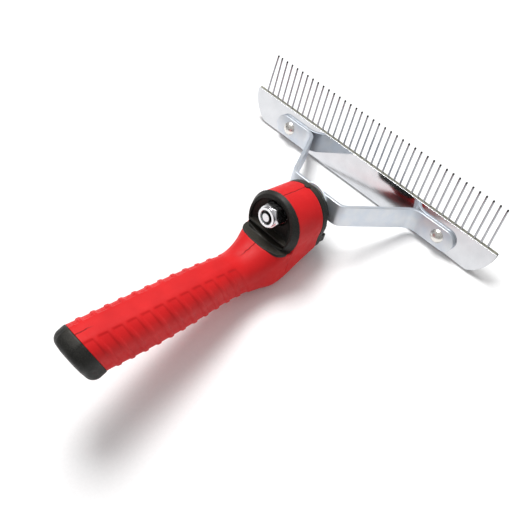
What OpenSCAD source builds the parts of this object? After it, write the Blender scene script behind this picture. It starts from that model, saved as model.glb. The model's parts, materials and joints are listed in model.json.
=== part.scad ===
// Undercoat rake: a comb of straight steel pins on a riveted yoke, which swivels on one bolt
// at the end of an overmoulded, cranked handle.
//
// Every sub-part is drawn along the swivel bolt: +X runs down the bolt towards the comb, and
// its zero is where the bolt axis meets the rear face of the yoke. at_rest() then leans the
// whole tool back until the comb's back edge and the heel of the handle touch one level floor,
// and moves the origin to that floor, below the middle of the rake's length.

/* [Comb] */
// Number of pins
pin_count = 40; // [20:2:40]
// Spacing from pin to pin
pin_pitch = 4.3; // [3.5:0.1:4.3]
// Free length of a pin above the spine
pin_length = 25; // [15:1:35]
// Diameter of a pin
pin_d = 1.1; // [0.8:0.1:1.2]
// Length of the spine
spine_length = 181; // [180:1:190]
// Height of the spine from its folded back edge to its pin edge
spine_height = 19.3; // [18:0.1:22]
// Corner radius where the ends of the spine meet its back edge
spine_corner_r = 21; // [19:0.5:24]
// Thickness of the chromed sheet
plate_t = 0.7; // [0.5:0.1:1]
// Thickness of the bar that holds the pins in the folded sheet
bar_t = 1.6; // [1.4:0.1:2]

/* [Yoke] */
// Width of the bent steel strap
strap_w = 12.8; // [12:0.2:14]
// Thickness of the strap
strap_t = 2.2; // [1.8:0.1:2.6]
// Half the flat length of the strap's base
base_half = 15.1; // [14.6:0.1:17]
// Distance from the base's rear face to the feet's rear face
yoke_reach = 39.6; // [36:0.2:44]
// Angle between a leg and the bolt axis
leg_angle = 29; // [24:1:32]
// Inside radius of the bend between base and leg
base_bend_r = 4; // [2:0.5:4.5]
// Inside radius of the bend between leg and foot
foot_bend_r = 8; // [3:0.5:9]
// Distance of each rivet from the bolt axis
rivet_offset = 57.5; // [55:0.5:60]
// Distance of each foot's tip from the bolt axis
foot_tip = 68; // [66:0.5:72]

/* [Swivel] */
// Diameter of the bolt's shank
bolt_d = 8; // [6:1:8]
// Across flats of the lock nut
nut_af = 12; // [12:0.5:13]
// Height of the lock nut, with its crown
nut_h = 7.8; // [7:0.2:9]
// Radial running clearance between bolt and bush
running_clearance = 0.05; // [0.03:0.01:0.09]

/* [Handle] */
// Radius of the round hub
hub_r = 17.3; // [16.8:0.1:17.8]
// How far the hub's centre lies below the bolt axis
hub_drop = 6.4; // [5.8:0.2:7]
// Half the width of the grip
grip_half_w = 13.2; // [12.4:0.2:14]
// Half the height of the grip
grip_half_h = 12.8; // [12.4:0.2:14]
// Depth of the grip's centre line below the bolt axis, at the neck
grip_drop = 33.2; // [31:0.5:36]
// Thickness of the soft cover over the core
cover_t = 3.4; // [2.6:0.2:3.6]
// Angle of the butt and of the grip's flutes from square
rake_angle = 30; // [20:1:34]
// Number of flutes on each side of the grip
flute_count = 12; // [6:1:12]
// Spacing from flute to flute
flute_pitch = 7.95; // [7:0.05:8]
// Depth of a flute
flute_depth = 0.8; // [0.4:0.1:1.2]

/* [Rest] */
// Angle by which the bolt axis rises from the comb towards the nut when the rake lies down
rest_lean = 24.6; // [20:0.1:28]

/* [Hidden] */
$fn = 64;
HULL_FN = 32;
PIN_FN = 24;
BEND_STEPS = 12;
FAR = 200;

RED = [0.84, 0.13, 0.13];
BLACK = [0.13, 0.13, 0.125];
CHROME = [0.86, 0.87, 0.89];
ZINC = [0.74, 0.78, 0.84];
STEEL = [0.62, 0.63, 0.65];
BAR_GREY = [0.42, 0.42, 0.37];
NYLON = [0.92, 0.93, 0.95];

// Comb, from the handle side to the far side
plate_rear_x = yoke_reach + strap_t;
bar_rear_x = plate_rear_x + plate_t;
bar_front_x = bar_rear_x + bar_t;
plate_front_x = bar_front_x + plate_t;
spine_top_z = 10.65;
spine_back_z = spine_top_z - spine_height;
bar_proud = 0.3;
bar_depth = 15;
bar_end_gap = 0.6;
pin_root = 8;

// Rivets
rivet_shank_r = 1.9;
rivet_head_r = 4.1;
rivet_head_h = 2.4;
rivet_tail_r = 2.9;
rivet_tail_h = 0.9;

// Swivel stack, from the yoke back to the nut
bolt_r = bolt_d / 2;
bore_r = bolt_r + running_clearance;
neck_square = bolt_d - 0.2;
neck_hole = bolt_d;
bolt_head_r = 6.2;
bolt_head_h = 3;
seat_washer_t = 1.3;
seat_washer_r = 9;
seat_pocket_r = 9.4;
bush_r = 5.5;
bush_flange_r = 6.4;
bush_flange_t = 1;
boss_r = 8.6;
boss_rear_x = -26;
flange_rear_x = boss_rear_x - bush_flange_t;
spring_t = 0.7;
spring_h = 1.1;
spring_r = 6.2;
spring_rear_x = flange_rear_x - spring_h;
cup_washer_t = 1.4;
cup_washer_r = 6.2;
nut_front_x = spring_rear_x - cup_washer_t;
nut_rear_x = nut_front_x - nut_h;
nut_crown_h = 1.5;
nut_turn = 30;
nut_crown_r = nut_af / 2 - 0.6;
insert_r = 5;
insert_h = 1.3;
insert_lip = 0.3;
bolt_end_x = nut_rear_x - 0.2;
bolt_point_r = 2.8;
bolt_point_h = 1.2;

// Hub
hub_z = -hub_drop;
hub_front_x = -9.6;
ring_step_x = -6;
ring_spigot_x = -14;
ring_spigot_r = 12.5;
cover_rear_x = -28.3;
cup_floor_x = -20;
cup_barrel_r = 15.2;
pocket_mouth_r = 13.9;
pocket_mouth_x = -31;
pocket_floor_r = 9;
pocket_floor_x = -28.3;
nut_well_r = 7.1;
rim_r = 17.8;
rim_small_r = 12.6;
rim_tilt = 6;
rim_top = [-30.9, 0, 10];
chord_z = -11;
chord_wall_t = 1;
slot_arc_r = 45;
slot_mid_z = -15.4;
slot_end_half = 13;
slot_floor_x = -26;
tongue_r = 25.7;
tongue_x = -14.6;
tongue_half = 15.4;
tongue_corner_r = 9;
tongue_rear_x = -40;
tongue_front_x = -28;
tongue_top_z = -15.6;
tongue_bottom_z = -17.4;

// Grip
neck_rear_x = -37;
neck_top_z = -15.8;
neck_proud = 0.05;
heel_half_w = 13;
heel_half_h = 12.5;
heel_corner_r = 9;
heel_z = -28.5;
heel_front_x = -27;
heel_rear_x = -33;
grip_front = [-49, 0, -grip_drop];
grip_tilt = 2.2;
grip_corner_r = 10.5;
grip_blank_length = 140;
butt_top = [-149.4, 0, -24];
cap_t = 9.4;
cap_edge = 3.4;
cap_side_t = 4.6;
plug_length = 10;
plug_half = 6.5;
flute_w = 5.6;
flute_band = 5.3;
flute_first_x = -57.2;
flute_top_z = -22;

// Ring
ring_front_x = -0.3;
nose_rear_r = 17;
nose_front_r = 13.2;
nose_split_z = -4.8;
nose_half = 12.6;
nose_top = -2;
nose_bottom = -20;
nose_corner = 4;
nib_top_z = 11.5;
nib_gap = 0.2;
// Ring lugs: [lowest z, highest z, half width]
ring_lugs = [[-9.6, -6.9, 15.4], [-17, -12.4, 16.4]];
ring_lug_front_x = -2.5;
ring_lug_root = 11;
ring_foot_half = 16.6;
ring_foot_corner = 8;
nib_r = 1.7;

// Where the seat of the swivel comes to lie: ahead of mid-length, and above the floor
rest_shift = [50.37, 0, 26.04];

// ---------- Shared shapes ----------

// Takes a shape from the bolt's own axes into the pose in which the rake lies on a floor.
module at_rest() {
    translate(rest_shift) rotate([0, rest_lean, 0]) children();
}

// A cylinder on an axis parallel to the bolt, between two stations along it.
module x_cylinder(r, from_x, to_x, z = 0, y = 0) {
    translate([from_x, y, z]) rotate([0, 90, 0]) cylinder(r = r, h = to_x - from_x);
}

// A box given by its two corners.
module box(low, high) {
    translate(low) cube(high - low);
}

// A flat outline drawn in Y (across) and Z (up), thickened between two stations along X.
module x_slab(from_x, to_x) {
    translate([from_x, 0, 0]) rotate([90, 0, 90]) linear_extrude(to_x - from_x) children();
}

// A rectangle with four equal round corners, centred on the origin.
module rounded_rectangle(half_w, half_h, r) {
    square([2 * (half_w - r), 2 * half_h], center = true);
    square([2 * half_w, 2 * (half_h - r)], center = true);
    for (side_y = [-1, 1], side_z = [-1, 1])
        translate([side_y * (half_w - r), side_z * (half_h - r)]) circle(r);
}

// Everything behind a plane raked back by rake_angle through a point.
module behind_raked_plane(point, thickness = FAR) {
    translate(point) rotate([0, -90 - rake_angle, 0])
        translate([-FAR / 2, -FAR / 2, 0]) cube([FAR, FAR, thickness]);
}

// ---------- Handle envelope, shared by the core, the cover and the cap ----------

// The straight part of the grip, running back from the neck, drawn smaller by an inset.
module grip_bar(inset, length = grip_blank_length) {
    translate(grip_front) rotate([0, -90 - grip_tilt, 0]) linear_extrude(length)
        rounded_rectangle(grip_half_h - inset, grip_half_w - inset, grip_corner_r - inset);
}

// The cranked neck that carries the lower half of the hub back and down into the grip, over
// a rounded heel on its underside. Its flats lie just outside the round hub and grip, so that
// the shapes cross cleanly where they join.
module neck(inset) {
    flat_r = (hub_r - inset) / cos(180 / HULL_FN) + neck_proud;
    hull() {
        intersection() {
            x_cylinder(flat_r, neck_rear_x, hub_front_x - neck_proud, hub_z, $fn = HULL_FN);
            box([neck_rear_x, -FAR, -FAR], [hub_front_x, FAR, neck_top_z - inset]);
        }
        x_slab(heel_rear_x, heel_front_x) translate([0, heel_z])
            rounded_rectangle(heel_half_w - inset, heel_half_h - inset, heel_corner_r - inset,
                              $fn = HULL_FN);
        grip_bar(inset - 2 * neck_proud, 1, $fn = HULL_FN);
    }
}

// The whole handle from the hub's front face to the raked butt.
module handle_body(inset) {
    x_cylinder(hub_r - inset, cover_rear_x, hub_front_x, hub_z);
    neck(inset);
    difference() {
        grip_bar(inset);
        behind_raked_plane(butt_top);
    }
}

// ---------- Handle pieces ----------

// The segment slot behind the cup's straight wall: flat above, a shallow arc below.
module lip_slot() {
    intersection() {
        x_cylinder(slot_arc_r, -FAR, slot_floor_x, slot_mid_z + slot_arc_r);
        box([-FAR, -slot_end_half, -FAR], [slot_floor_x, slot_end_half, chord_z - chord_wall_t]);
    }
}

// The bowl around the nut, closed below by the cup's straight wall.
module cup_pocket() {
    intersection() {
        union() {
            x_cylinder(pocket_mouth_r, -FAR, pocket_mouth_x, hub_z);
            translate([pocket_mouth_x, 0, hub_z]) rotate([0, 90, 0])
                cylinder(r1 = pocket_mouth_r, r2 = pocket_floor_r,
                         h = pocket_floor_x - pocket_mouth_x);
        }
        box([-FAR, -FAR, chord_z], [FAR, FAR, FAR]);
    }
}

// The outside of the cup, without its pockets: a slant-cut tapered rim, the barrel inside
// the hub and a tongue that lies flat on the neck.
module cup_body() {
    difference() {
        translate([neck_rear_x, 0, hub_z]) rotate([0, 90, 0])
            cylinder(r1 = rim_small_r, r2 = rim_r, h = cover_rear_x - neck_rear_x);
        translate(rim_top) rotate([0, rim_tilt, 0]) box([-FAR, -FAR, -FAR], [0, FAR, FAR]);
        box([-FAR, -FAR, -FAR], [FAR, FAR, tongue_bottom_z]);
    }
    x_cylinder(cup_barrel_r, cover_rear_x - 1, cup_floor_x, hub_z);
    intersection() {
        translate([tongue_x, 0, tongue_bottom_z])
            cylinder(r = tongue_r, h = tongue_top_z - tongue_bottom_z);
        translate([tongue_rear_x + FAR, 0, tongue_bottom_z])
            linear_extrude(tongue_top_z - tongue_bottom_z)
                rounded_rectangle(FAR, tongue_half, tongue_corner_r);
        box([-FAR, -FAR, -FAR], [tongue_front_x, FAR, FAR]);
    }
}

module rear_cup() {
    color(BLACK) difference() {
        cup_body();
        cup_pocket();
        lip_slot();
        x_cylinder(nut_well_r, -FAR, FAR);
        x_cylinder(boss_r, boss_rear_x, FAR);
    }
}

module handle_core() {
    color(BLACK) difference() {
        union() {
            difference() {
                handle_body(cover_t);
                cup_body();
            }
            x_cylinder(boss_r, boss_rear_x, cup_floor_x);
        }
        x_cylinder(bush_r, -FAR, FAR);
        x_cylinder(ring_spigot_r, ring_spigot_x, FAR, hub_z);
        butt_plug();
    }
}

// One slanted flute on both sides of the grip, as a cutter.
module flute(x) {
    for (side = [-1, 1])
        intersection() {
            behind_raked_plane([x, 0, flute_top_z], flute_w);
            box([-FAR, min(side * flute_band, side * FAR), -FAR],
                [FAR, max(side * flute_band, side * FAR), FAR]);
        }
}

module grip_cover() {
    color(RED) difference() {
        handle_body(0);
        handle_body(cover_t);
        cup_body();
        ring_nib();
        difference() {
            for (i = [0 : flute_count - 1]) flute(flute_first_x - i * flute_pitch);
            grip_bar(flute_depth);
            box([grip_front.x - 2, -FAR, -FAR], [FAR, FAR, FAR]);
        }
    }
}

// The square plug that seats the cap in the core.
module butt_plug() {
    intersection() {
        translate(grip_front) rotate([0, -90 - grip_tilt, 0])
            translate([-plug_half, -plug_half, 0])
                cube([2 * plug_half, 2 * plug_half, grip_blank_length]);
        translate([plug_length, 0, 0]) behind_raked_plane(butt_top, plug_length);
    }
}

module butt_cap() {
    color(BLACK) union() {
        hull() {
            intersection() {
                grip_bar(0, $fn = HULL_FN);
                behind_raked_plane(butt_top, cap_side_t);
            }
            intersection() {
                grip_bar(cap_edge, $fn = HULL_FN);
                behind_raked_plane(butt_top, cap_t);
            }
        }
        difference() {
            butt_plug();
            behind_raked_plane(butt_top);
        }
    }
}

// Outline of the ring where it meets the cover: round above, squarer below.
module ring_foot_outline() {
    translate([0, hub_z]) circle(hub_r);
    translate([0, hub_z - ring_foot_corner / 2])
        rounded_rectangle(ring_foot_half, hub_r - ring_foot_corner / 2, ring_foot_corner);
}

// A small peg that keys the ring to the cover at the top of the hub.
module ring_nib() {
    low_z = hub_z + hub_r - cover_t + nib_gap;
    translate([hub_front_x, 0, low_z]) cylinder(r = nib_r, h = nib_top_z - low_z);
}

// The ring's nose: half a cone above, and a narrower block below.
module ring_nose() {
    intersection() {
        translate([ring_step_x, 0, hub_z]) rotate([0, 90, 0])
            cylinder(r1 = nose_rear_r, r2 = nose_front_r, h = ring_front_x - ring_step_x);
        box([-FAR, -FAR, nose_split_z], [FAR, FAR, FAR]);
    }
    x_slab(ring_step_x, ring_front_x) translate([0, (nose_top + nose_bottom) / 2])
        rounded_rectangle(nose_half, (nose_top - nose_bottom) / 2, nose_corner);
}

module index_ring() {
    color(BLACK) difference() {
        union() {
            x_slab(hub_front_x, ring_step_x) ring_foot_outline();
            ring_nose();
            for (lug = ring_lugs, side = [-1, 1])
                mirror([0, side < 0 ? 1 : 0, 0])
                    box([ring_step_x, ring_lug_root, lug[0]], [ring_lug_front_x, lug[2], lug[1]]);
            x_cylinder(ring_spigot_r, ring_spigot_x, hub_front_x, hub_z);
            ring_nib();
        }
        x_cylinder(bush_r, -FAR, FAR);
        x_cylinder(seat_pocket_r, -seat_washer_t, FAR);
    }
}

module pivot_bush() {
    bush_front_x = -seat_washer_t;
    color(BLACK) difference() {
        union() {
            x_cylinder(bush_r, flange_rear_x, bush_front_x);
            x_cylinder(bush_flange_r, flange_rear_x, boss_rear_x);
        }
        x_cylinder(bore_r, -FAR, FAR);
    }
}

// ---------- Head pieces ----------

// Points along an arc, in short chords.
function arc(centre, r, from_angle, to_angle) = [
    for (i = [0 : BEND_STEPS])
        let (a = from_angle + (to_angle - from_angle) * i / BEND_STEPS)
        centre + r * [cos(a), sin(a)]
];

// Side view of one half of the strap, from the middle of its rear face out to the foot's tip
// and back along its front face. Both bends turn through the angle between base and leg.
function half_strap_outline() =
    let (
        turn = 90 - leg_angle,
        base_outer_r = base_bend_r + strap_t,
        base_centre = [base_outer_r, base_half],
        leg_start = base_centre + base_outer_r * [-cos(turn), sin(turn)],
        leg_run = yoke_reach - leg_start.x - foot_bend_r * (1 - cos(turn)),
        leg_end = leg_start + leg_run * [1, cos(turn) / sin(turn)],
        foot_centre = leg_end + foot_bend_r * [-cos(turn), sin(turn)]
    )
    concat(
        arc(base_centre, base_outer_r, 180, 180 - turn),
        arc(foot_centre, foot_bend_r, -turn, 0),
        [[yoke_reach, foot_tip + 1], [plate_rear_x, foot_tip + 1]],
        arc(foot_centre, foot_bend_r + strap_t, 0, -turn),
        arc(base_centre, base_bend_r, 180 - turn, 180)
    );

module strap_profile() {
    half = half_strap_outline();
    last = len(half) - 1;
    polygon(concat(half, [for (i = [last : -1 : 0]) [half[i].x, -half[i].y]]));
}

// The strap seen along the bolt: a strip with round ends.
module strap_outline() {
    end_r = strap_w / 2;
    round_y = foot_tip - end_r;
    square([2 * round_y, strap_w], center = true);
    for (side = [-1, 1]) translate([side * round_y, 0]) circle(end_r);
}

module yoke_strap() {
    color(ZINC) difference() {
        intersection() {
            linear_extrude(2 * strap_w, center = true) strap_profile();
            x_slab(-FAR, FAR) strap_outline();
        }
        x_slab(-FAR, FAR) square(neck_hole, center = true);
        for (side = [-1, 1]) x_cylinder(rivet_shank_r, -FAR, FAR, y = side * rivet_offset);
    }
}

// Outline of the spine in Y and Z: a straight pin edge, and large round back corners.
module spine_outline() {
    round_y = spine_length / 2 - spine_corner_r;
    translate([0, spine_top_z]) {
        square([2 * round_y, 2 * spine_corner_r], center = true);
        for (side = [-1, 1]) translate([side * round_y, 0]) circle(spine_corner_r);
    }
}

// The chromed sheet, folded in two along the back edge around the pin bar.
module spine_shell() {
    fold_r = plate_t + bar_t / 2;
    fold_x = plate_rear_x + fold_r;
    fold_z = spine_back_z + fold_r;
    color(CHROME) difference() {
        intersection() {
            x_slab(plate_rear_x, plate_front_x) spine_outline();
            union() {
                box([plate_rear_x, -FAR, fold_z], [plate_front_x, FAR, spine_top_z]);
                translate([fold_x, 0, fold_z]) rotate([90, 0, 0])
                    cylinder(r = fold_r, h = spine_length, center = true);
            }
        }
        box([bar_rear_x, -FAR, fold_z], [bar_front_x, FAR, FAR]);
        translate([fold_x, 0, fold_z]) rotate([90, 0, 0])
            cylinder(r = bar_t / 2, h = spine_length + 1, center = true);
        for (side = [-1, 1]) x_cylinder(rivet_shank_r, -FAR, FAR, y = side * rivet_offset);
    }
}

module pin_bar() {
    half = spine_length / 2 - bar_end_gap;
    top_z = spine_top_z + bar_proud;
    color(BAR_GREY) difference() {
        intersection() {
            box([bar_rear_x, -half, top_z - bar_depth], [bar_front_x, half, top_z]);
            x_slab(bar_rear_x, bar_front_x) spine_outline();
        }
        comb_pins();
        for (side = [-1, 1]) x_cylinder(rivet_shank_r, -FAR, FAR, y = side * rivet_offset);
    }
}

// One pin, rounded at its tip.
module pin() {
    root_z = spine_top_z - pin_root;
    tip_z = spine_top_z + pin_length - pin_d / 2;
    translate([0, 0, root_z]) cylinder(d = pin_d, h = tip_z - root_z, $fn = PIN_FN);
    translate([0, 0, tip_z]) sphere(d = pin_d, $fn = PIN_FN);
}

module comb_pins() {
    middle_x = (bar_rear_x + bar_front_x) / 2;
    color(STEEL) for (i = [0 : pin_count - 1])
        translate([middle_x, (i - (pin_count - 1) / 2) * pin_pitch, 0]) pin();
}

// A shallow dome centred on the bolt's axis: flat at base_x, rising towards +X or, with a
// rise of -1, towards -X.
module dome(r, height, base_x, rise) {
    ball_r = (r * r + height * height) / (2 * height);
    translate([base_x, 0, 0]) rotate([0, rise * 90, 0]) difference() {
        translate([0, 0, height - ball_r]) sphere(ball_r);
        translate([-FAR / 2, -FAR / 2, -FAR]) cube(FAR);
    }
}

// A rivet through a foot, the plates and the bar, with a domed head on the handle's side.
module rivet(side) {
    color(ZINC) translate([0, side * rivet_offset, 0]) {
        x_cylinder(rivet_shank_r, yoke_reach - rivet_tail_h / 2, plate_front_x + rivet_tail_h / 2);
        dome(rivet_head_r, rivet_head_h, yoke_reach, -1);
        dome(rivet_tail_r, rivet_tail_h, plate_front_x, 1);
    }
}

module rivet_left() {
    rivet(1);
}

module rivet_right() {
    rivet(-1);
}

// Round-headed bolt with a square neck, which the yoke's square hole holds from turning.
module swivel_bolt() {
    color(ZINC) {
        dome(bolt_head_r, bolt_head_h, strap_t, 1);
        x_slab(0, strap_t) square(neck_square, center = true);
        x_cylinder(bolt_r, bolt_end_x + bolt_point_h, strap_t + bolt_head_h / 2);
        x_cylinder(bolt_point_r, bolt_end_x, bolt_end_x + bolt_point_h);
    }
}

module seat_washer() {
    color(NYLON) difference() {
        x_cylinder(seat_washer_r, -seat_washer_t, 0);
        x_cylinder(bore_r, -FAR, FAR);
    }
}

// A conical spring washer that keeps the swivel tight: it rises from its rim to its bore.
module disc_spring() {
    rise = spring_h - spring_t;
    color(STEEL) translate([spring_rear_x, 0, 0]) rotate([0, 90, 0]) rotate_extrude()
        polygon([[bore_r, 0], [spring_r, rise], [spring_r, spring_h], [bore_r, spring_t]]);
}

module cup_washer() {
    color(STEEL) difference() {
        x_cylinder(cup_washer_r, nut_front_x, spring_rear_x);
        x_cylinder(bore_r, -FAR, FAR);
    }
}

// Hexagon with a chamfered rear face and a round crown that holds the nylon insert.
module lock_nut() {
    hex_rear_x = nut_rear_x + nut_crown_h;
    hex_corner_r = nut_af / 2 / cos(30);
    color(CHROME) difference() {
        union() {
            intersection() {
                translate([hex_rear_x, 0, 0]) rotate([nut_turn, 0, 0]) rotate([0, 90, 0])
                    cylinder(r = hex_corner_r, h = nut_front_x - hex_rear_x, $fn = 6);
                translate([hex_rear_x, 0, 0]) rotate([0, 90, 0])
                    cylinder(r1 = nut_af / 2, r2 = nut_af / 2 + nut_front_x - hex_rear_x,
                             h = nut_front_x - hex_rear_x);
            }
            x_cylinder(nut_crown_r, nut_rear_x, hex_rear_x);
        }
        x_cylinder(bolt_r, -FAR, FAR);
        x_cylinder(insert_r, nut_rear_x + insert_lip, nut_rear_x + insert_lip + insert_h);
    }
}

module nut_insert() {
    color(NYLON) difference() {
        x_cylinder(insert_r, nut_rear_x + insert_lip, nut_rear_x + insert_lip + insert_h);
        x_cylinder(bolt_r, -FAR, FAR);
    }
}

at_rest() handle_core();
at_rest() grip_cover();
at_rest() index_ring();
at_rest() rear_cup();
at_rest() butt_cap();
at_rest() pivot_bush();
at_rest() yoke_strap();
at_rest() spine_shell();
at_rest() pin_bar();
at_rest() comb_pins();
at_rest() rivet_left();
at_rest() rivet_right();
at_rest() swivel_bolt();
at_rest() seat_washer();
at_rest() disc_spring();
at_rest() cup_washer();
at_rest() lock_nut();
at_rest() nut_insert();
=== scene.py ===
"""Undercoat rake: finished surfaces, materials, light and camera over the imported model.

Shapes are drawn in millimetres along the swivel bolt, as the solid model is: +X runs down the
bolt towards the comb and zero is the seat of the swivel. TOOL takes them into the shared frame.
"""
import json
import math

import bmesh
import bpy
import numpy as np
from mathutils import Matrix, Vector


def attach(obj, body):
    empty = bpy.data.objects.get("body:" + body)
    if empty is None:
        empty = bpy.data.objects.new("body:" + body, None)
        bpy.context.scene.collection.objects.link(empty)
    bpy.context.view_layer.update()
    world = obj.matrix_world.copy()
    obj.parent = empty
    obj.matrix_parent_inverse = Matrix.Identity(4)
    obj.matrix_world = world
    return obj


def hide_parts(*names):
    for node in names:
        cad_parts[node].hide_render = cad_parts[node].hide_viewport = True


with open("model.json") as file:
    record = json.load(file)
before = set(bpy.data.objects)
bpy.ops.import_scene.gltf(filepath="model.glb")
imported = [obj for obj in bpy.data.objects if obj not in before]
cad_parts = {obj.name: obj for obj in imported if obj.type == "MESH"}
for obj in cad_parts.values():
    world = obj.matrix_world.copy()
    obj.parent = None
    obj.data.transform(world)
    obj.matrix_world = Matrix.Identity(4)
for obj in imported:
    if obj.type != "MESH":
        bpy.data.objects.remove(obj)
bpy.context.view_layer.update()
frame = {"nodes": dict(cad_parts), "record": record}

MM = 0.001

# In the shared frame: the bolt's direction towards the comb, the pins' direction, square to it,
# and how far the bolt leans from level
SWIVEL = frame["record"]["behaviour"]["joints"][0]
BOLT_AXIS = Vector(SWIVEL["axis"])
TOOL_UP = Vector((-BOLT_AXIS.z, 0.0, BOLT_AXIS.x))
LEAN = math.atan2(-BOLT_AXIS.z, BOLT_AXIS.x)
TOOL = (Matrix.Translation(SWIVEL["pos_m"]) @ Matrix.Rotation(LEAN, 4, "Y")
        @ Matrix.Scale(MM, 4))

# Hub: radius, height of its centre, and its front and rear faces
HUB_R = 17.3
HUB_Z = -6.4
HUB_FRONT = -9.6
HUB_REAR = -28.3
# Behind its rear face the hub's side dies away into the neck, more slowly for a larger value
HUB_FADE = 6.0
# Width of the soft hollow where hub and neck meet
HUB_HOLLOW = 5.0
# Height of the flat behind the hub, on which the cup's tongue lies
LEDGE_Z = -15.9
# Bore for the barrel of the cup: radius, floor, and how far its cutter sticks out behind the hub
CUP_BARREL_R = 15.3
CUP_FLOOR = -19.9
CUTTER_PAST_HUB = 8.0

# Butt: its topmost point as (x, z), and how far it leans from square
BUTT_TOP = (-149.4, -24.0)
RAKE = math.radians(30)
# Cap on the butt: radius of its edge, thickness, and rise of its middle
CAP_EDGE_R = 5.0
CAP_T = 9.1
CAP_CROWN = 0.35

# Grip: place along the bolt, top, underside, half width and corner radius
GRIP_STATIONS = [
    (-9.6, -10.0, -25.5, 16.8, 9.0),
    (-20.0, -9.0, -34.0, 16.2, 10.0),
    (-28.0, -8.0, -40.6, 15.6, 10.0),
    (-34.0, -11.0, -42.6, 15.2, 10.0),
    (-40.0, -16.0, -43.6, 13.2, 10.0),
    (-50.0, -20.9, -44.2, 11.5, 9.6),
    (-62.0, -21.0, -44.7, 11.5, 9.6),
    (-80.0, -21.2, -46.6, 12.4, 10.2),
    (-100.0, -22.2, -48.6, 13.0, 10.5),
    (-150.0, -24.2, -50.2, 13.1, 10.5),
]

# Rings that the skin is made of: points in each, the line through their centres as (distance
# back along the bolt, height), and how far back they have come round to the butt's lean
RING_POINTS = 192
RING_CENTRES = [(9.6, -8.5), (28.0, -22.5), (34.0, -27.5), (50.0, -32.5), (150.0, -37.0)]
RING_LEANS_FULLY = 54.0
# Rays that find the skin: how far each is followed, and how often that reach is halved
RAY_REACH = 45.0
RAY_HALVINGS = 26

# Flutes: place of the first along the bolt, spacing, number, width, depth, upper end, half
# the smooth band along the top of the grip, and length of a flute's sloping wall
FLUTE_FIRST = -57.2
FLUTE_PITCH = 7.95
FLUTE_COUNT = 12
FLUTE_WIDTH = 6.3
FLUTE_DEPTH = 0.6
FLUTE_TOP_Z = -22.0
FLUTE_BAND = 5.3
FLUTE_WALL = 1.0

# Spacing of the skin's rings
HUB_STEP = 0.7
GRIP_STEP = FLUTE_PITCH / 16

# Pins: number, spacing, radius, points around, place along the bolt, height of both ends, and
# length of the dark tip
PIN_COUNT = 40
PIN_PITCH = 4.3
PIN_R = 0.62
PIN_POINTS = 14
PIN_X = 43.3
PIN_ROOT_Z = 2.7
PIN_TIP_Z = 35.65
PIN_DARK_TIP = 1.4
# The last pin: how far its tip leans to the side, where the bend begins, and how it grows
BENT_PIN_LEAN = -1.2
BEND_FROM_Z = 12.0
BEND_POWER = 1.6

# Size of the voxels from which the moulded parts are meshed
MOULDING_VOXEL = 0.25


# ---------- Shared tools ----------

def smoothstep(value, low, high):
    """Zero below low, one above high, and a smooth rise between them."""
    t = np.clip((value - low) / (high - low), 0.0, 1.0)
    return t * t * (3.0 - 2.0 * t)


def spline(xs, ys):
    """A smooth curve through points given in rising x, as a function of x."""
    xs, ys = np.array(xs), np.array(ys)
    slopes = np.gradient(ys, xs)

    def at(x):
        i = np.clip(np.searchsorted(xs, x) - 1, 0, len(xs) - 2)
        h = xs[i + 1] - xs[i]
        t = np.clip((x - xs[i]) / h, 0.0, 1.0)
        return ((2 * t**3 - 3 * t**2 + 1) * ys[i] + (t**3 - 2 * t**2 + t) * h * slopes[i]
                + (3 * t**2 - 2 * t**3) * ys[i + 1] + (t**3 - t**2) * h * slopes[i + 1])
    return at


def tube_faces(rings, around):
    """Quads that join rings of vertices, each of which runs once around."""
    return [(r * around + c, r * around + (c + 1) % around,
             (r + 1) * around + (c + 1) % around, (r + 1) * around + c)
            for r in range(rings - 1) for c in range(around)]


def end_face(ring, around):
    """One face over a whole ring."""
    return tuple(range(ring * around, (ring + 1) * around))


def closed_faces(rings, around):
    """A tube of rings with a face over each end."""
    return tube_faces(rings, around) + [end_face(0, around), end_face(rings - 1, around)]


def new_mesh(name, verts, faces):
    """A mesh in the shared frame, from vertices in millimetres along the bolt."""
    mesh = bpy.data.meshes.new(name)
    mesh.from_pydata([TOOL @ Vector(v) for v in verts], [], faces)
    return mesh


def piece(name, verts, faces, body, node, slot):
    """Makes the visible piece for a node, from vertices in millimetres along the bolt."""
    mesh = new_mesh(name, verts, faces)
    mesh.validate()
    return place(mesh, name, body, node, slot)


def tidy_normals(mesh):
    """Joins doubled vertices and turns every face outwards."""
    bm = bmesh.new()
    bm.from_mesh(mesh)
    bmesh.ops.remove_doubles(bm, verts=bm.verts, dist=0.01 * MM)
    bmesh.ops.recalc_face_normals(bm, faces=bm.faces)
    bm.to_mesh(mesh)
    bm.free()


def link(name, data):
    """A new object in the scene."""
    obj = bpy.data.objects.new(name, data)
    bpy.context.scene.collection.objects.link(obj)
    return obj


def place(mesh, name, body, node, slot):
    """Links a mesh, cleans its normals, gives it its slot's material, parents it to its body and
    hides the node it stands for.
    """
    tidy_normals(mesh)
    for polygon in mesh.polygons:
        polygon.use_smooth = True
    mesh.materials.clear()
    mesh.materials.append(MATERIALS[slot])
    obj = link(name, mesh)
    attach(obj, body)
    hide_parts(node)
    return obj


def apply_modifiers(obj):
    """Bakes an object's modifiers into its mesh."""
    graph = bpy.context.evaluated_depsgraph_get()
    baked = bpy.data.meshes.new_from_object(obj.evaluated_get(graph))
    obj.modifiers.clear()
    obj.data = baked


def moulded(node, body, slot, rounds):
    """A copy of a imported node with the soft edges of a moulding: more rounds are softer."""
    mesh = frame["nodes"][node].data.copy()
    obj = place(mesh, node + "_skin", body, node, slot)
    remesh = obj.modifiers.new("Skin", "REMESH")
    remesh.mode = "VOXEL"
    remesh.voxel_size = MOULDING_VOXEL * MM
    remesh.use_smooth_shade = True
    soften = obj.modifiers.new("Soften", "SMOOTH")
    soften.factor = 0.5
    soften.iterations = rounds
    apply_modifiers(obj)


# ---------- Materials ----------

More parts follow.
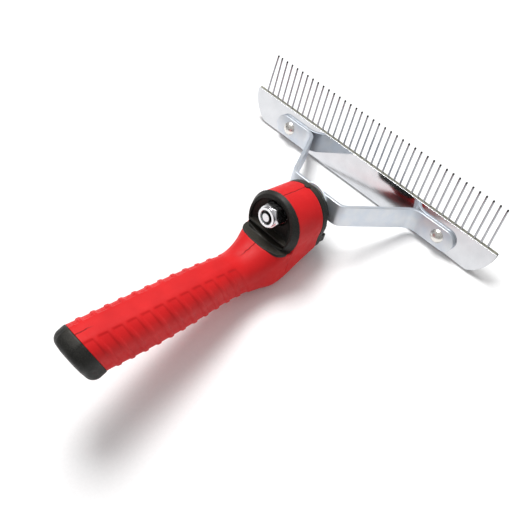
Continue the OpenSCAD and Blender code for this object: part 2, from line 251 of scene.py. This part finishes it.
class Shader:
    """A procedural material, built node by node around one Principled shader.

    position and axis() are in metres in the shared frame, with the rake at rest. All other
    sizes and distances are in millimetres.
    """

    def __init__(self, name):
        self.material = bpy.data.materials.new(name)
        self.material.use_nodes = True
        self.tree = self.material.node_tree
        self.bsdf = self.tree.nodes["Principled BSDF"]
        coordinates = self.tree.nodes.new("ShaderNodeTexCoord")
        self.position = coordinates.outputs["Object"]
        self.normal = coordinates.outputs["Normal"]

    def add(self, kind, inputs=None, **settings):
        """A new node, with each input linked to a socket or set to a plain value."""
        node = self.tree.nodes.new(kind)
        for key, value in settings.items():
            setattr(node, key, value)
        for key, value in (inputs or {}).items():
            if isinstance(value, bpy.types.NodeSocket):
                self.tree.links.new(value, node.inputs[key])
            else:
                node.inputs[key].default_value = value
        return node

    def set(self, name, value):
        """Links or sets one input of the Principled shader."""
        if isinstance(value, bpy.types.NodeSocket):
            self.tree.links.new(value, self.bsdf.inputs[name])
        else:
            self.bsdf.inputs[name].default_value = value

    def stretched(self, scale):
        """Positions stretched along the axes, for grain that runs one way."""
        return self.add("ShaderNodeMapping", {"Vector": self.position, "Scale": scale}).outputs[0]

    def noise(self, size_mm, detail=3.0, vector=None):
        """Noise with features of about size_mm."""
        node = self.add("ShaderNodeTexNoise", {
            "Vector": vector or self.position, "Scale": 1.0 / (size_mm * MM), "Detail": detail})
        return node.outputs["Fac"]

    def ramp(self, value, low, high, from_min=0.3, from_max=0.7):
        """Spreads value from low to high; the default range suits noise."""
        return self.add("ShaderNodeMapRange", {
            "Value": value, "From Min": from_min, "From Max": from_max,
            "To Min": low, "To Max": high}).outputs[0]

    def mix(self, factor, first, second):
        """Blends two colours."""
        node = self.add("ShaderNodeMix", data_type="RGBA")
        for key, value in ((0, factor), (6, first), (7, second)):
            if isinstance(value, bpy.types.NodeSocket):
                self.tree.links.new(value, node.inputs[key])
            elif key == 0:
                node.inputs[key].default_value = value
            else:
                node.inputs[key].default_value = (*value, 1.0)
        return node.outputs[2]

    def math(self, operation, first, second=0.0):
        """One step of arithmetic on sockets or numbers."""
        return self.add("ShaderNodeMath", {0: first, 1: second}, operation=operation).outputs[0]

    def axis(self, letter):
        """The X, Y or Z part of the position."""
        return self.add("ShaderNodeSeparateXYZ", {0: self.position}).outputs[letter]

    def dot(self, vector, direction):
        """How far a vector reaches along a direction."""
        node = self.add("ShaderNodeVectorMath", {0: vector, 1: tuple(direction)},
                        operation="DOT_PRODUCT")
        return node.outputs["Value"]

    def along(self, direction):
        """Distance along a direction, from the seat of the swivel."""
        reach = self.dot(self.position, direction)
        from_seat = self.math("SUBTRACT", reach, direction.dot(Vector(SWIVEL["pos_m"])))
        return self.math("DIVIDE", from_seat, MM)

    def off_bolt(self):
        """Distance from the bolt's axis."""
        up, across = self.along(TOOL_UP), self.math("DIVIDE", self.axis("Y"), MM)
        squares = self.math("ADD", self.math("MULTIPLY", up, up),
                            self.math("MULTIPLY", across, across))
        return self.math("SQRT", squares)

    def facing_up(self, low, high):
        """How squarely a face looks up towards the pins' side, spread over a range."""
        return self.ramp(self.dot(self.normal, TOOL_UP), 0.0, 1.0, low, high)

    def round_edges(self, radius_mm):
        """Normals that make sharp edges look rounded."""
        return self.add("ShaderNodeBevel", {"Radius": radius_mm * MM}, samples=4).outputs[0]

    def bump(self, height, strength, depth_mm, normal=None):
        """Normals tilted by a height, on top of other normals if they are given."""
        inputs = {"Height": height, "Strength": strength, "Distance": depth_mm * MM}
        if normal:
            inputs["Normal"] = normal
        return self.add("ShaderNodeBump", inputs).outputs[0]


# The parting line, in the shared frame: half its width, how far it wanders, and where it shows,
# which is on hub and neck ahead of the first X, and near the butt behind the second
PARTING_HALF_W = 0.42 * MM
PARTING_WANDER = 0.25 * MM
PARTING_NECK_X = 0.001
PARTING_BUTT_X = -0.090

# The nut's seat and the start of its flanks painted dark as shade, along the bolt, and the bright
# point's radius
NUT_SEAT_X = -31.0
NUT_SHADE_X = -34.4
BOLT_POINT_R = 2.4


def soft_red():
    """Satin thermoplastic rubber, a little cloudy, with a fine skin and a parting line."""
    s = Shader("soft_red")
    cloud = s.ramp(s.noise(14.0, 2.0), 0.0, 1.0)
    colour = s.mix(cloud, (0.54, 0.010, 0.012), (0.63, 0.015, 0.016))
    speck = s.ramp(s.noise(0.5, 4.0), 0.0, 0.25, 0.45, 0.75)
    colour = s.mix(speck, colour, (0.50, 0.008, 0.010))
    wander = s.ramp(s.noise(3.5, 2.0), -PARTING_WANDER, PARTING_WANDER)
    off_centre = s.math("ABSOLUTE", s.math("ADD", s.axis("Y"), wander))
    parting = s.ramp(off_centre, 1.0, 0.0, 0.1 * MM, PARTING_HALF_W)
    front = s.ramp(s.axis("X"), 0.0, 1.0, PARTING_NECK_X - 0.006, PARTING_NECK_X)
    butt = s.ramp(s.axis("X"), 1.0, 0.0, PARTING_BUTT_X, PARTING_BUTT_X + 0.004)
    parting = s.math("MULTIPLY", parting, s.math("MAXIMUM", front, butt))
    colour = s.mix(s.math("MULTIPLY", parting, 0.8), colour, (0.16, 0.005, 0.006))
    s.set("Base Color", colour)
    s.set("Roughness", s.ramp(s.noise(3.0), 0.42, 0.58))
    s.set("Specular IOR Level", 0.16)
    skin = s.bump(s.noise(0.35, 3.0), 0.16, 0.06)
    skin = s.bump(s.noise(6.0, 1.0), 0.12, 0.5, skin)
    s.set("Normal", s.bump(parting, 0.7, -0.2, skin))
    return s.material


def hard_black():
    """Spark-textured black plastic: matt, with a painted warm highlight on faces towards the pins'
    side.
    """
    s = Shader("hard_black")
    grain = s.noise(0.45, 5.0)
    colour = s.mix(s.ramp(grain, 0.0, 1.0, 0.4, 0.66), (0.009, 0.009, 0.008), (0.026, 0.025, 0.022))
    # Painted highlight: faces that look up towards the pins' side, and so towards the light, get a
    # lighter warm grey in patches.
    painted_sheen = s.math("MULTIPLY", s.facing_up(0.8, 0.98), s.ramp(s.noise(1.6), 0.5, 1.0))
    s.set("Base Color", s.mix(painted_sheen, colour, (0.038, 0.034, 0.027)))
    s.set("Roughness", s.ramp(s.noise(2.2), 0.42, 0.6))
    s.set("Specular IOR Level", 0.22)
    s.set("Normal", s.bump(grain, 0.3, 0.09))
    return s.material


def chrome():
    """Polished chrome plate with haze, hairline scratches and round edges; its up-facing cut ends
    are painted near white as a highlight.
    """
    s = Shader("chrome_plate")
    # Painted highlight: faces that look up towards the pins' side are near white and less metallic.
    cut = s.facing_up(0.8, 0.95)
    s.set("Metallic", s.ramp(cut, 1.0, 0.2))
    haze = s.noise(9.0, 3.0)
    plate = s.mix(s.ramp(haze, 0.0, 1.0), (0.57, 0.58, 0.60), (0.65, 0.66, 0.68))
    s.set("Base Color", s.mix(cut, plate, (0.93, 0.93, 0.94)))
    scratches = s.noise(0.6, 2.0, s.stretched((1.0, 0.03, 1.0)))
    rough = s.math("ADD", s.ramp(haze, 0.05, 0.09), s.ramp(scratches, 0.0, 0.05, 0.5, 0.75))
    s.set("Roughness", rough)
    s.set("Normal", s.bump(scratches, 0.05, 0.02, s.round_edges(0.22)))
    return s.material


def zinc():
    """Bright zinc plate: steel under a thin bluish film that turns warmer in patches."""
    s = Shader("zinc_plate")
    s.set("Metallic", 0.75)
    film = s.ramp(s.noise(7.0, 3.0), 0.0, 1.0, 0.35, 0.65)
    facing = s.add("ShaderNodeLayerWeight", {"Blend": 0.35}).outputs["Facing"]
    colour = s.mix(film, (0.62, 0.67, 0.73), (0.71, 0.73, 0.75))
    colour = s.mix(s.math("MULTIPLY", facing, 0.5), colour, (0.56, 0.62, 0.75))
    s.set("Base Color", colour)
    s.set("Roughness", s.ramp(s.noise(2.5, 4.0), 0.36, 0.44))
    rolling = s.noise(0.7, 3.0, s.stretched((1.0, 0.12, 1.0)))
    s.set("Normal", s.bump(rolling, 0.05, 0.03))
    return s.material


def pin_steel():
    """Drawn steel wire, polished along its length."""
    s = Shader("pin_steel")
    s.set("Metallic", 1.0)
    drawn = s.noise(0.5, 3.0, s.stretched((1.0, 1.0, 0.08)))
    colour = s.mix(s.ramp(drawn, 0.0, 1.0), (0.38, 0.39, 0.41), (0.52, 0.53, 0.55))
    tip = s.ramp(s.along(TOOL_UP), 0.0, 1.0, PIN_TIP_Z - PIN_DARK_TIP,
                 PIN_TIP_Z - PIN_DARK_TIP / 2)
    s.set("Base Color", s.mix(tip, colour, (0.09, 0.09, 0.09)))
    s.set("Roughness", s.ramp(drawn, 0.14, 0.28))
    s.set("Normal", s.bump(drawn, 0.08, 0.03, s.round_edges(0.12)))
    return s.material


def rivet_steel():
    """Barrelled steel: bright, slightly warm and softly dimpled."""
    s = Shader("rivet_steel")
    s.set("Metallic", 1.0)
    dimples = s.noise(1.1, 3.0)
    s.set("Base Color", s.mix(s.ramp(dimples, 0.0, 1.0), (0.66, 0.64, 0.60), (0.82, 0.80, 0.76)))
    s.set("Roughness", s.ramp(dimples, 0.22, 0.34))
    s.set("Normal", s.bump(dimples, 0.12, 0.05))
    return s.material


def bolt_steel():
    """Bright bolt steel; inside the nut it is dark except for a small bright disc at the point."""
    s = Shader("bolt_steel")
    s.set("Metallic", 1.0)
    # Inside the nut the bolt is dark outside a small bright disc at its point.
    in_nut = s.ramp(s.along(BOLT_AXIS), 1.0, 0.0, NUT_SEAT_X, NUT_SEAT_X + 1.0)
    off_centre = s.ramp(s.off_bolt(), 0.0, 1.0, BOLT_POINT_R - 0.3, BOLT_POINT_R)
    dark_ring = s.math("MULTIPLY", off_centre, in_nut)
    turned = s.noise(0.5, 3.0)
    colour = s.mix(s.ramp(turned, 0.0, 1.0), (0.70, 0.71, 0.74), (0.84, 0.84, 0.86))
    s.set("Base Color", s.mix(dark_ring, colour, (0.03, 0.03, 0.03)))
    s.set("Roughness", s.ramp(turned, 0.2, 0.34))
    s.set("Normal", s.bump(turned, 0.15, 0.05))
    return s.material


def nut_chrome():
    """Chrome on the nut's end; its flanks, towards the handle and sunk in the cup, are painted dark
    as shade.
    """
    s = Shader("nut_chrome")
    s.set("Metallic", 1.0)
    # Painted shade: the nut's flanks towards the handle are dark, mottled and rougher.
    flank = s.ramp(s.along(BOLT_AXIS), 0.0, 1.0, NUT_SHADE_X - 1.2, NUT_SHADE_X)
    nut_mottle = s.noise(0.8, 4.0)
    dark = s.mix(s.ramp(nut_mottle, 0.0, 1.0, 0.4, 0.6), (0.012, 0.012, 0.012), (0.10, 0.10, 0.10))
    s.set("Base Color", s.mix(flank, (0.78, 0.77, 0.79), dark))
    s.set("Roughness", s.math("ADD", s.ramp(nut_mottle, 0.08, 0.14), s.math("MULTIPLY", flank, 0.3)))
    s.set("Normal", s.bump(nut_mottle, 0.12, 0.05, s.round_edges(0.3)))
    return s.material


def bar_grey():
    """Matt olive-grey bar, slightly mottled."""
    s = Shader("bar_grey")
    mottle = s.noise(1.2, 4.0)
    s.set("Base Color", s.mix(s.ramp(mottle, 0.0, 1.0), (0.15, 0.15, 0.115), (0.25, 0.245, 0.19)))
    s.set("Roughness", s.ramp(mottle, 0.5, 0.75))
    s.set("Normal", s.bump(mottle, 0.25, 0.08))
    return s.material


def nylon():
    """Milky nylon with a soft turned surface."""
    s = Shader("nylon")
    cloud = s.noise(1.0, 3.0)
    s.set("Base Color", s.mix(s.ramp(cloud, 0.0, 1.0), (0.78, 0.79, 0.82), (0.9, 0.91, 0.94)))
    s.set("Roughness", s.ramp(cloud, 0.3, 0.5))
    s.set("Subsurface Weight", 0.2)
    s.set("Subsurface Scale", 0.002)
    s.set("Normal", s.bump(cloud, 0.2, 0.05))
    return s.material


MATERIALS = {
    "soft_red": soft_red(),
    "hard_black": hard_black(),
    "chrome_plate": chrome(),
    "zinc_plate": zinc(),
    "pin_steel": pin_steel(),
    "bar_grey": bar_grey(),
    "nylon": nylon(),
}


def finish_packed_nodes():
    """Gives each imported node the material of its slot, and the fasteners looks of their own."""
    looks = {part["node"]: MATERIALS[part["material_slot"]] for part in frame["record"]["subparts"]}
    looks["lock_nut"] = nut_chrome()
    looks["swivel_bolt"] = bolt_steel()
    looks["rivet_left"] = looks["rivet_right"] = rivet_steel()
    for name, material in looks.items():
        slots = frame["nodes"][name].data.materials
        slots.clear()
        slots.append(material)


# ---------- Handle ----------

STATION_XS = [-row[0] for row in GRIP_STATIONS]
GRIP_TOP, GRIP_UNDERSIDE, GRIP_HALF_W, GRIP_CORNER = (
    spline(STATION_XS, [row[i] for row in GRIP_STATIONS]) for i in (1, 2, 3, 4))


def grip_distance(x, y, z):
    """Distance, in a plane across the bolt, from a point to the skin of neck and grip."""
    top, under = GRIP_TOP(-x), GRIP_UNDERSIDE(-x)
    half_w, corner = GRIP_HALF_W(-x), GRIP_CORNER(-x)
    across = np.abs(y) - (half_w - corner)
    along = np.abs(z - (top + under) / 2) - ((top - under) / 2 - corner)
    outside = np.hypot(np.maximum(across, 0), np.maximum(along, 0))
    return outside + np.minimum(np.maximum(across, along), 0) - corner


def handle_distance(x, y, z):
    """As grip_distance, with the round hub blended in and a flat ledge cut behind it."""
    grip = grip_distance(x, y, z)
    past_hub = np.maximum(HUB_REAR - x, 0)
    hub = np.hypot(y, z - HUB_Z) - HUB_R + past_hub**2 / HUB_FADE
    overlap = np.maximum(HUB_HOLLOW - np.abs(grip - hub), 0) / HUB_HOLLOW
    joined = np.minimum(grip, hub) - overlap**2 * HUB_HOLLOW / 4
    return np.where(past_hub > 0, np.maximum(joined, z - LEDGE_Z), joined)


def plane_tilt(x):
    """The rings of the skin stand square at the hub and lean with the butt from the grip on."""
    return RAKE * smoothstep(-x, -HUB_REAR, RING_LEANS_FULLY)


def ring_centre_z(x):
    """A line inside the handle that every ring is drawn around."""
    return np.interp(-x, *zip(*RING_CENTRES))


def flute_depth(x, y, z):
    """How far the skin is sunk at a point: slanted flutes on both sides of the grip."""
    top_x = x - (FLUTE_TOP_Z - z) * math.tan(RAKE)
    along = FLUTE_FIRST - top_x
    inside = along - FLUTE_PITCH * np.floor(along / FLUTE_PITCH)
    front_wall = smoothstep(inside, 0.0, FLUTE_WALL)
    rear_wall = 1 - smoothstep(inside, FLUTE_WIDTH - FLUTE_WALL, FLUTE_WIDTH)
    present = (along > 0) & (along < FLUTE_PITCH * FLUTE_COUNT)
    off_band = smoothstep(np.abs(y), FLUTE_BAND, FLUTE_BAND + FLUTE_WALL)
    return FLUTE_DEPTH * front_wall * rear_wall * off_band * present


def cast_ring(centre_x, inset=0.0, shift=0.0):
    """One ring of the skin: where rays from the ring's centre leave the handle.

    shift moves the ring along its plane's normal, back from the butt, and inset shrinks it.
    """
    tilt = plane_tilt(np.array(centre_x))
    angle = np.linspace(0, 2 * math.pi, RING_POINTS, endpoint=False)
    out_y = np.cos(angle)
    out_x = -math.sin(tilt) * np.sin(angle)
    out_z = math.cos(tilt) * np.sin(angle)
    cz = ring_centre_z(centre_x)
    near, far = np.zeros(RING_POINTS), np.full(RING_POINTS, RAY_REACH)
    for _ in range(RAY_HALVINGS):
        middle = (near + far) / 2
        inside = handle_distance(centre_x + middle * out_x, middle * out_y, cz + middle * out_z) < 0
        near = np.where(inside, middle, near)
        far = np.where(inside, far, middle)
    x, y, z = centre_x + near * out_x, near * out_y, cz + near * out_z
    reach = near - flute_depth(x, y, z) - inset
    return np.stack([centre_x + reach * out_x - shift * math.cos(tilt), reach * out_y,
                     cz + reach * out_z - shift * math.sin(tilt)], axis=1)


def butt_centre_x():
    """Where the raked plane of the butt crosses the line of ring centres."""
    x = BUTT_TOP[0]
    # Each round starts from the last answer, and it has settled long before the twentieth
    for _ in range(20):
        x = BUTT_TOP[0] + (BUTT_TOP[1] - ring_centre_z(x)) * math.tan(RAKE)
    return x


def grip_cover():
    """The soft cover from the hub's front edge to the butt.

    Its rings are (place along the bolt, inset): the insets round its edges and close its ends.
    """
    edge = [(HUB_FRONT, 2.0), (HUB_FRONT, 0.5), (HUB_FRONT - 0.15, 0.15), (HUB_FRONT - 0.5, 0.0)]
    hub = [(x, 0.0) for x in np.arange(HUB_FRONT - 1.1, HUB_REAR + HUB_STEP, -HUB_STEP)]
    rear = [(HUB_REAR + 0.5, 0.0), (HUB_REAR + 0.15, 0.15), (HUB_REAR + 0.01, 0.5)]
    butt_x = butt_centre_x()
    grip = [(x, 0.0) for x in np.arange(HUB_REAR - 0.05, butt_x + 0.3, -GRIP_STEP)]
    butt = [(butt_x + 0.12, 0.1), (butt_x, 0.35), (butt_x, 2.0)]
    rings = [cast_ring(x, inset) for x, inset in edge + hub + rear + grip + butt]
    cover = piece("grip_cover_skin", np.concatenate(rings).tolist(),
                  closed_faces(len(rings), RING_POINTS), "handle", "grip_cover", "soft_red")
    cut_cup_bore(cover)


def cut_cup_bore(cover):
    """Opens the hub from behind, where the cup's barrel sits."""
    around = 96
    angles = np.linspace(0, 2 * math.pi, around, endpoint=False)
    verts = [(x, CUP_BARREL_R * math.cos(a), HUB_Z + CUP_BARREL_R * math.sin(a))
             for x in (CUP_FLOOR, HUB_REAR - CUTTER_PAST_HUB) for a in angles]
    mesh = new_mesh("bore", verts, closed_faces(2, around))
    tidy_normals(mesh)
    cutter = link("bore", mesh)
    cut = cover.modifiers.new("Bore", "BOOLEAN")
    cut.operation = "DIFFERENCE"
    cut.object = cutter
    cut.solver = "EXACT"
    apply_modifiers(cover)
    bpy.data.objects.remove(cutter)


def butt_cap():
    """The hard cap on the butt, with a deep round edge and a slightly crowned end."""
    x = butt_centre_x()
    rings = [cast_ring(x, 3.0, 0.05), cast_ring(x, 0.35, 0.05), cast_ring(x, 0.12, 0.3),
             cast_ring(x, 0.0, 1.0)]
    for turn in np.linspace(0, math.pi / 2, 9):
        shift = CAP_T - CAP_EDGE_R + CAP_EDGE_R * math.sin(turn)
        rings.append(cast_ring(x, CAP_EDGE_R * (1 - math.cos(turn)), shift))
    crown = cast_ring(x, CAP_EDGE_R, CAP_T + CAP_CROWN)
    centre = crown.mean(axis=0)
    rings += [centre + (crown - centre) * scale for scale in (0.75, 0.45, 0.15)]
    faces = tube_faces(len(rings), RING_POINTS)
    faces.append(end_face(len(rings) - 1, RING_POINTS))
    piece("butt_cap_skin", np.concatenate(rings).tolist(), faces, "handle", "butt_cap",
          "hard_black")


# ---------- Head ----------

# Strap: reach along the bolt to the feet, thickness, width, half the flat base, angle of the
# legs from the bolt, inside radii of both bends, tips of the feet, and where they turn round
YOKE_REACH = 39.6
STRAP_T = 2.2
STRAP_W = 12.8
BASE_HALF = 15.1
LEG_ANGLE = math.radians(29)
BASE_BEND_R = 4.0
FOOT_BEND_R = 8.0
FOOT_TIP = 68.0
FOOT_ROUND_Y = FOOT_TIP - STRAP_W / 2
STRAP_EDGE_R = 0.35


def strap_line():
    """The strap's middle line on one side, as (x, y, turned angle) from its centre to its tip."""
    turn = math.pi / 2 - LEG_ANGLE
    mid = STRAP_T / 2
    base_r, foot_r = BASE_BEND_R + mid, FOOT_BEND_R + mid
    points = [(mid, y, 0.0) for y in np.linspace(0, BASE_HALF, 9)[:-1]]
    for a in np.linspace(0, turn, 9):
        points.append((mid + base_r * (1 - math.cos(a)), BASE_HALF + base_r * math.sin(a), a))
    start_x, start_y, _ = points[-1]
    end_x = YOKE_REACH + mid - foot_r * (1 - math.cos(turn))
    end_y = start_y + (end_x - start_x) / math.tan(turn)
    points += [(start_x + (end_x - start_x) * t, start_y + (end_y - start_y) * t, turn)
               for t in np.linspace(0, 1, 13)[1:-1]]
    for a in np.linspace(turn, 0, 11):
        points.append((YOKE_REACH + mid - foot_r * (1 - math.cos(a)),
                       end_y + foot_r * (math.sin(turn) - math.sin(a)), a))
    flat_y = points[-1][1]
    points += [(YOKE_REACH + mid, y, 0.0) for y in np.linspace(flat_y, FOOT_ROUND_Y, 5)[1:]]
    points += [(YOKE_REACH + mid, FOOT_ROUND_Y + STRAP_W / 2 * math.sin(a), 0.0)
               for a in np.linspace(0, math.pi / 2, 14)[1:-1]]
    return points


def strap_section(half_w, half_t, corner):
    """A rectangle with rounded corners, as (across, through) points."""
    section = []
    for side_w, side_t, start in ((1, 1, 0), (-1, 1, 90), (-1, -1, 180), (1, -1, 270)):
        for step in range(5):
            a = math.radians(start + 22.5 * step)
            section.append((side_w * (half_w - corner) + corner * math.cos(a),
                            side_t * (half_t - corner) + corner * math.sin(a)))
    return section


def yoke_strap():
    """The bent strap, swept along its middle line, with rounded edges and round feet."""
    one_side = strap_line()
    line = [(x, -y, -a) for x, y, a in reversed(one_side[1:])] + one_side
    verts = []
    for x, y, angle in line:
        past = max(abs(y) - FOOT_ROUND_Y, 0)
        half_w = math.sqrt(max((STRAP_W / 2)**2 - past**2, 0.0))
        half_w = max(half_w, STRAP_EDGE_R + 0.05)
        through = Vector((math.cos(angle), -math.sin(angle), 0))
        for across, depth in strap_section(half_w, STRAP_T / 2, STRAP_EDGE_R):
            verts.append(Vector((x, y, 0)) + through * depth + Vector((0, 0, across)))
    around = len(verts) // len(line)
    piece("yoke_strap_skin", verts, closed_faces(len(line), around), "head", "yoke_strap",
          "zinc_plate")


def pin(y, bend_y=0.0):
    """One pin as vertices and faces: a straight wire with a polished dome on its end."""
    dome = [(PIN_TIP_Z - PIN_R + PIN_R * math.sin(a), PIN_R * math.cos(a))
            for a in np.linspace(0, math.radians(84), 6)]
    stations = [(z, PIN_R) for z in np.linspace(PIN_ROOT_Z, PIN_TIP_Z - PIN_R, 8)[:-1]] + dome
    verts = []
    for z, r in stations:
        lean = bend_y * max(0.0, (z - BEND_FROM_Z) / (PIN_TIP_Z - BEND_FROM_Z))**BEND_POWER
        verts += [(PIN_X + r * math.cos(a), y + lean + r * math.sin(a), z)
                  for a in np.linspace(0, 2 * math.pi, PIN_POINTS, endpoint=False)]
    return verts, closed_faces(len(stations), PIN_POINTS)


def comb_pins():
    """All the pins in one piece; the last is slightly bent towards its neighbour."""
    verts, faces = [], []
    for i in range(PIN_COUNT):
        y = (i - (PIN_COUNT - 1) / 2) * PIN_PITCH
        pin_verts, pin_faces = pin(y, BENT_PIN_LEAN if i == PIN_COUNT - 1 else 0.0)
        faces += [tuple(len(verts) + v for v in face) for face in pin_faces]
        verts += pin_verts
    piece("comb_pins_skin", verts, faces, "head", "comb_pins", "pin_steel")


# ---------- Stage ----------

# The camera: its place and directions, given along the bolt as every shape is, and its optics
CAMERA_AT = Vector((-288.4, -179.3, 222.1))
CAMERA_LOOK = Vector((0.6375, 0.4443, -0.6294))
CAMERA_UP = Vector((0.3243, 0.5863, 0.7423))
CAMERA_LENS = 51.4
SENSOR_W = 36.0

# Half the side of the floor, in metres
FLOOR_REACH = 3.0

# The room's light: colours at the horizon and overhead, the height from 0 to 1 from which the
# second fills the room, and strength
HORIZON = (0.40, 0.40, 0.41, 1.0)
OVERHEAD = (1.0, 1.0, 1.0, 1.0)
OVERHEAD_FROM = 0.75
ROOM_STRENGTH = 0.58


def camera():
    """The camera, placed by the same axes as the rake."""
    data = bpy.data.cameras.new("camera")
    data.lens = CAMERA_LENS
    data.sensor_width = SENSOR_W
    data.clip_start = 0.01
    obj = link("camera", data)
    turn = TOOL.to_3x3().normalized()
    back = -(turn @ CAMERA_LOOK).normalized()
    right = (turn @ CAMERA_UP).cross(back).normalized()
    up = back.cross(right)
    pose = Matrix((right, up, back)).transposed().to_4x4()
    pose.translation = TOOL @ CAMERA_AT
    obj.matrix_world = pose
    bpy.context.scene.camera = obj


def floor():
    """A white paper floor."""
    s = Shader("paper")
    fibre = s.noise(1.5, 4.0)
    s.set("Base Color", s.mix(s.ramp(fibre, 0.0, 1.0), (0.90, 0.90, 0.90), (0.93, 0.93, 0.93)))
    s.set("Roughness", s.ramp(fibre, 0.8, 0.95))
    s.set("Specular IOR Level", 0.1)
    s.set("Normal", s.bump(fibre, 0.03, 0.05))
    corners = [(-1, -1), (1, -1), (1, 1), (-1, 1)]
    mesh = bpy.data.meshes.new("floor")
    mesh.from_pydata([(x * FLOOR_REACH, y * FLOOR_REACH, 0) for x, y in corners], [],
                     [(0, 1, 2, 3)])
    mesh.materials.append(s.material)
    link("floor", mesh)


def soft_box(at, size, power):
    """A square area light that faces the middle of the rake."""
    data = bpy.data.lights.new("soft_box", "AREA")
    data.shape = "SQUARE"
    data.size = size
    data.energy = power
    obj = link("soft_box", data)
    obj.location = at
    obj.rotation_euler = (-Vector(at)).to_track_quat("-Z", "Y").to_euler()


def room():
    """A studio that is white overhead and falls away to grey at the horizon."""
    world = bpy.data.worlds.new("room")
    world.use_nodes = True
    bpy.context.scene.world = world
    tree = world.node_tree
    direction = tree.nodes.new("ShaderNodeTexCoord").outputs["Generated"]
    height = tree.nodes.new("ShaderNodeSeparateXYZ")
    tree.links.new(direction, height.inputs[0])
    ramp = tree.nodes.new("ShaderNodeValToRGB")
    stops = ramp.color_ramp.elements
    stops[0].position, stops[0].color = 0.0, HORIZON
    stops[1].position, stops[1].color = OVERHEAD_FROM, OVERHEAD
    tree.links.new(height.outputs["Z"], ramp.inputs[0])
    background = tree.nodes["Background"]
    tree.links.new(ramp.outputs[0], background.inputs["Color"])
    background.inputs["Strength"].default_value = ROOM_STRENGTH


def light():
    """The room, and one large soft box high on the left."""
    room()
    soft_box(at=(0.40, 0.43, 1.15), size=0.6, power=17.0)
    bpy.context.scene.view_settings.view_transform = "Standard"


finish_packed_nodes()
grip_cover()
butt_cap()
moulded("rear_cup", "handle", "hard_black", rounds=12)
moulded("index_ring", "handle", "hard_black", rounds=4)
yoke_strap()
comb_pins()
camera()
floor()
light()
